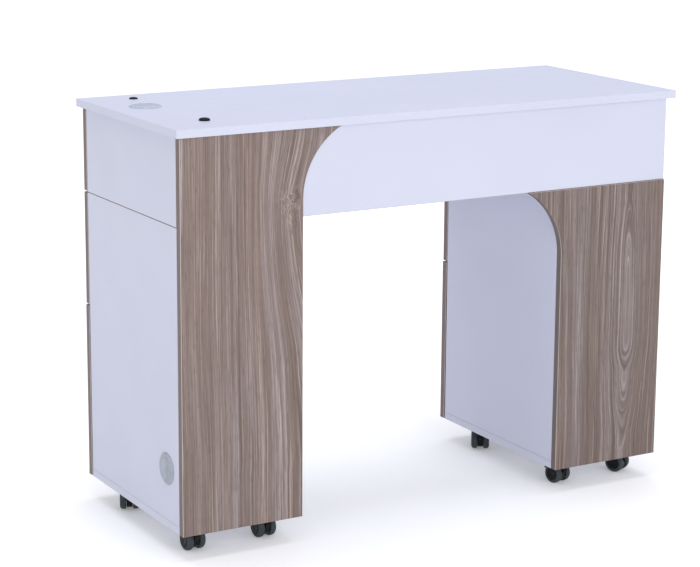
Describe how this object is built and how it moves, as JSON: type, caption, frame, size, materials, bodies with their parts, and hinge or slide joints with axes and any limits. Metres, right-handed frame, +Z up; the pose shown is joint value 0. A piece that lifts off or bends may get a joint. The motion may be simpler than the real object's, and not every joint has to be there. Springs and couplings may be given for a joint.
{
  "type": "manicure table",
  "caption": "Two-pedestal manicure table with curved wood front panels, drawers, cupboards and a knee space, on swivel casters.",
  "frame": {"origin": "on the floor, under the middle of the table's bounding box", "axes": "+X along the table's length, to the right for the client who faces the wood front panels; +Y from the client to the technician's drawers; +Z up"},
  "size_m": [1.1, 0.471, 0.8096],
  "materials": {
    "white_melamine": "satin white melamine board",
    "wood_laminate": "matt grey-brown wood-grain laminate",
    "grommet_grey": "moulded light grey",
    "black_plastic": "moulded black",
    "handle_chrome": "polished",
    "hinge_steel": "nickel plated",
    "caster_black": "moulded nylon, glossy",
    "caster_tyre": "dark grey tread"
  },
  "bodies": {
    "carcass": {"table_top": "white_melamine", "apron": "white_melamine", "upper_side_left": "white_melamine", "upper_side_right": "white_melamine", "upper_floor": "white_melamine", "upper_divider_left": "white_melamine", "upper_divider_right": "white_melamine", "top_grommet": "grommet_grey", "side_grommet": "grommet_grey", "lamp_bushing_front": "black_plastic", "lamp_bushing_rear": "black_plastic", "front_panel_left": "wood_laminate", "front_panel_right": "wood_laminate", "left_bottom_board": "white_melamine", "left_shelf": "white_melamine", "left_inner_side": "white_melamine", "left_outer_side": "white_melamine", "left_door_hinge_upper": "hinge_steel", "left_door_hinge_lower": "hinge_steel", "right_bottom_board": "white_melamine", "right_shelf": "white_melamine", "right_inner_side": "white_melamine", "right_outer_side": "white_melamine", "right_door_hinge_upper": "hinge_steel", "right_door_hinge_lower": "hinge_steel"},
    "left_top_drawer": {"left_top_drawer_front": "wood_laminate", "left_top_drawer_box": "white_melamine", "left_top_drawer_handle": "handle_chrome"},
    "centre_drawer": {"centre_drawer_front": "wood_laminate", "centre_drawer_box": "white_melamine", "centre_drawer_handle": "handle_chrome"},
    "right_top_drawer": {"right_top_drawer_front": "wood_laminate", "right_top_drawer_box": "white_melamine", "right_top_drawer_handle": "handle_chrome"},
    "left_middle_drawer": {"left_middle_drawer_front": "wood_laminate", "left_middle_drawer_box": "white_melamine", "left_middle_drawer_handle": "handle_chrome"},
    "right_middle_drawer": {"right_middle_drawer_front": "wood_laminate", "right_middle_drawer_box": "white_melamine", "right_middle_drawer_handle": "handle_chrome"},
    "left_door": {"left_door": "wood_laminate", "left_door_handle": "handle_chrome"},
    "right_door": {"right_door": "wood_laminate", "right_door_handle": "handle_chrome"},
    "left_front_outer_caster_fork": {"left_front_outer_caster_fork": "caster_black"},
    "left_front_outer_caster_wheels": {"left_front_outer_caster_wheels": "caster_tyre"},
    "left_front_inner_caster_fork": {"left_front_inner_caster_fork": "caster_black"},
    "left_front_inner_caster_wheels": {"left_front_inner_caster_wheels": "caster_tyre"},
    "left_rear_outer_caster_fork": {"left_rear_outer_caster_fork": "caster_black"},
    "left_rear_outer_caster_wheels": {"left_rear_outer_caster_wheels": "caster_tyre"},
    "left_rear_inner_caster_fork": {"left_rear_inner_caster_fork": "caster_black"},
    "left_rear_inner_caster_wheels": {"left_rear_inner_caster_wheels": "caster_tyre"},
    "right_front_inner_caster_fork": {"right_front_inner_caster_fork": "caster_black"},
    "right_front_inner_caster_wheels": {"right_front_inner_caster_wheels": "caster_tyre"},
    "right_front_outer_caster_fork": {"right_front_outer_caster_fork": "caster_black"},
    "right_front_outer_caster_wheels": {"right_front_outer_caster_wheels": "caster_tyre"},
    "right_rear_inner_caster_fork": {"right_rear_inner_caster_fork": "caster_black"},
    "right_rear_inner_caster_wheels": {"right_rear_inner_caster_wheels": "caster_tyre"},
    "right_rear_outer_caster_fork": {"right_rear_outer_caster_fork": "caster_black"},
    "right_rear_outer_caster_wheels": {"right_rear_outer_caster_wheels": "caster_tyre"}
  },
  "joints": [
    {"name": "left_top_drawer_slide", "type": "slide", "parent": "carcass", "child": "left_top_drawer", "axis": [0, 1, 0], "range_m": [0, 0.26]},
    {"name": "centre_drawer_slide", "type": "slide", "parent": "carcass", "child": "centre_drawer", "axis": [0, 1, 0], "range_m": [0, 0.26]},
    {"name": "right_top_drawer_slide", "type": "slide", "parent": "carcass", "child": "right_top_drawer", "axis": [0, 1, 0], "range_m": [0, 0.26]},
    {"name": "left_middle_drawer_slide", "type": "slide", "parent": "carcass", "child": "left_middle_drawer", "axis": [0, 1, 0], "range_m": [0, 0.26]},
    {"name": "right_middle_drawer_slide", "type": "slide", "parent": "carcass", "child": "right_middle_drawer", "axis": [0, 1, 0], "range_m": [0, 0.26]},
    {"name": "left_door_swing", "type": "hinge", "parent": "carcass", "child": "left_door", "pos_m": [-0.2867, 0.1905, 0.224], "axis": [0, 0, -1], "range_deg": [0, 170]},
    {"name": "right_door_swing", "type": "hinge", "parent": "carcass", "child": "right_door", "pos_m": [0.5423, 0.1905, 0.224], "axis": [0, 0, -1], "range_deg": [0, 170]},
    {"name": "left_front_outer_caster_swivel", "type": "hinge", "parent": "carcass", "child": "left_front_outer_caster_fork", "pos_m": [-0.489, -0.1405, 0.0472], "axis": [0, 0, 1], "continuous": true},
    {"name": "left_front_outer_caster_roll", "type": "hinge", "parent": "left_front_outer_caster_fork", "child": "left_front_outer_caster_wheels", "pos_m": [-0.48837, -0.15849, 0.02], "axis": [0.9994, 0.0349, 0], "continuous": true},
    {"name": "left_front_inner_caster_swivel", "type": "hinge", "parent": "carcass", "child": "left_front_inner_caster_fork", "pos_m": [-0.34, -0.1405, 0.0472], "axis": [0, 0, 1], "continuous": true},
    {"name": "left_front_inner_caster_roll", "type": "hinge", "parent": "left_front_inner_caster_fork", "child": "left_front_inner_caster_wheels", "pos_m": [-0.33937, -0.15849, 0.02], "axis": [0.9994, 0.0349, 0], "continuous": true},
    {"name": "left_rear_outer_caster_swivel", "type": "hinge", "parent": "carcass", "child": "left_rear_outer_caster_fork", "pos_m": [-0.489, 0.1245, 0.0472], "axis": [0, 0, 1], "continuous": true},
    {"name": "left_rear_outer_caster_roll", "type": "hinge", "parent": "left_rear_outer_caster_fork", "child": "left_rear_outer_caster_wheels", "pos_m": [-0.49661, 0.10819, 0.02], "axis": [0.9063, -0.4226, 0], "continuous": true},
    {"name": "left_rear_inner_caster_swivel", "type": "hinge", "parent": "carcass", "child": "left_rear_inner_caster_fork", "pos_m": [-0.34, 0.1245, 0.0472], "axis": [0, 0, 1], "continuous": true},
    {"name": "left_rear_inner_caster_roll", "type": "hinge", "parent": "left_rear_inner_caster_fork", "child": "left_rear_inner_caster_wheels", "pos_m": [-0.34526, 0.10729, 0.02], "axis": [0.9563, -0.2924, 0], "continuous": true},
    {"name": "right_front_inner_caster_swivel", "type": "hinge", "parent": "carcass", "child": "right_front_inner_caster_fork", "pos_m": [0.34, -0.1405, 0.0472], "axis": [0, 0, 1], "continuous": true},
    {"name": "right_front_inner_caster_roll", "type": "hinge", "parent": "right_front_inner_caster_fork", "child": "right_front_inner_caster_wheels", "pos_m": [0.34374, -0.15811, 0.02], "axis": [0.9781, 0.2079, 0], "continuous": true},
    {"name": "right_front_outer_caster_swivel", "type": "hinge", "parent": "carcass", "child": "right_front_outer_caster_fork", "pos_m": [0.489, -0.1405, 0.0472], "axis": [0, 0, 1], "continuous": true},
    {"name": "right_front_outer_caster_roll", "type": "hinge", "parent": "right_front_outer_caster_fork", "child": "right_front_outer_caster_wheels", "pos_m": [0.49661, -0.15681, 0.02], "axis": [0.9063, 0.4226, 0], "continuous": true},
    {"name": "right_rear_inner_caster_swivel", "type": "hinge", "parent": "carcass", "child": "right_rear_inner_caster_fork", "pos_m": [0.34, 0.1245, 0.0472], "axis": [0, 0, 1], "continuous": true},
    {"name": "right_rear_inner_caster_roll", "type": "hinge", "parent": "right_rear_inner_caster_fork", "child": "right_rear_inner_caster_wheels", "pos_m": [0.33046, 0.10923, 0.02], "axis": [0.848, -0.5299, 0], "continuous": true},
    {"name": "right_rear_outer_caster_swivel", "type": "hinge", "parent": "carcass", "child": "right_rear_outer_caster_fork", "pos_m": [0.489, 0.1245, 0.0472], "axis": [0, 0, 1], "continuous": true},
    {"name": "right_rear_outer_caster_roll", "type": "hinge", "parent": "right_rear_outer_caster_fork", "child": "right_rear_outer_caster_wheels", "pos_m": [0.49335, 0.10704, 0.02], "axis": [0.9703, 0.2419, 0], "continuous": true}
  ]
}
